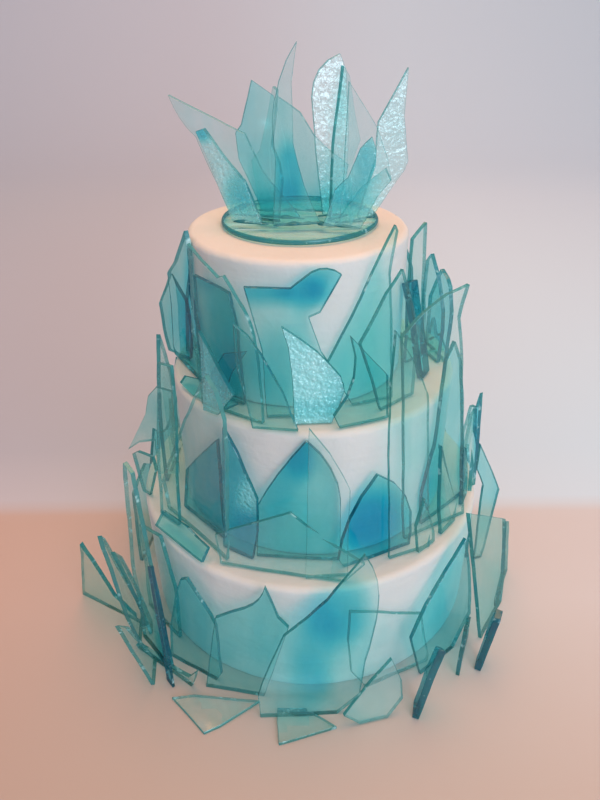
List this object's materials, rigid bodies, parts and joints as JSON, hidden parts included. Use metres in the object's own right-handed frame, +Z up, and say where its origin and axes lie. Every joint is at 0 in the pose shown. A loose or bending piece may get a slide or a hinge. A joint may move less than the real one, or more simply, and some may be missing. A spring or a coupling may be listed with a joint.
{
  "type": "tiered wedding cake",
  "caption": "Round wedding cake of stacked, smoothly iced tiers, ringed by upright broken shards of tinted sugar glass, with a glass plate and a spray of shards on top.",
  "frame": {"origin": "middle of the bottom tier's underside", "axes": "+Z up; -Y is the front, the side the picture shows; +X is the viewer's right"},
  "size_m": [0.3797, 0.3518, 0.4223],
  "materials": {
    "icing": "smooth buttercream, matt, with soft smoothing marks",
    "glass_pale": "clear poured sugar, very pale grey-teal, glossy",
    "glass_teal": "tinted poured sugar, mid teal, glossy",
    "glass_blue": "poured sugar with strong blue patches fading to teal, glossy",
    "glass_deep": "thicker poured sugar, dark teal with darker edges, glossy"
  },
  "bodies": {
    "root": {"crown_back": "glass_pale", "crown_blade": "glass_teal", "crown_kite": "glass_pale", "crown_lance": "glass_teal", "crown_leaf": "glass_pale", "crown_left_frosted": "glass_teal", "crown_left_long": "glass_pale", "crown_plate": "glass_teal", "crown_right_blue": "glass_blue", "crown_right_tall": "glass_pale", "crown_spire": "glass_blue", "low_back_left": "glass_blue", "low_back_right": "glass_teal", "low_big": "glass_blue", "low_blue_foot": "glass_deep", "low_flat_left": "glass_teal", "low_house": "glass_teal", "low_kite": "glass_teal", "low_left_inner": "glass_deep", "low_left_splay": "glass_deep", "low_left_tall": "glass_pale", "low_pale_back": "glass_pale", "low_pale_front": "glass_pale", "low_right_navy": "glass_deep", "low_right_pair": "glass_pale", "low_right_plate": "glass_pale", "low_sail": "glass_teal", "mid_arch": "glass_blue", "mid_back_left": "glass_pale", "mid_back_right": "glass_blue", "mid_front_trio": "glass_pale", "mid_hump": "glass_blue", "mid_ledge_left": "glass_deep", "mid_left_bar": "glass_deep", "mid_left_blade": "glass_deep", "mid_left_dark": "glass_deep", "mid_left_tall": "glass_pale", "mid_right_big": "glass_pale", "mid_right_clear": "glass_pale", "mid_right_inner": "glass_teal", "mid_right_pair": "glass_pale", "tier_bottom": "icing", "tier_middle": "icing", "tier_top": "icing", "top_back_left": "glass_blue", "top_back_right": "glass_teal", "top_blade": "glass_teal", "top_blue_bar": "glass_blue", "top_bright": "glass_pale", "top_clear": "glass_pale", "top_diagonal": "glass_teal", "top_front_fin": "glass_teal", "top_frosted": "glass_deep", "top_left_inner": "glass_teal", "top_left_tall": "glass_deep", "top_right_pair": "glass_teal", "top_right_tall": "glass_pale", "top_shoulder": "glass_teal", "top_wave": "glass_blue"}
  },
  "joints": []
}
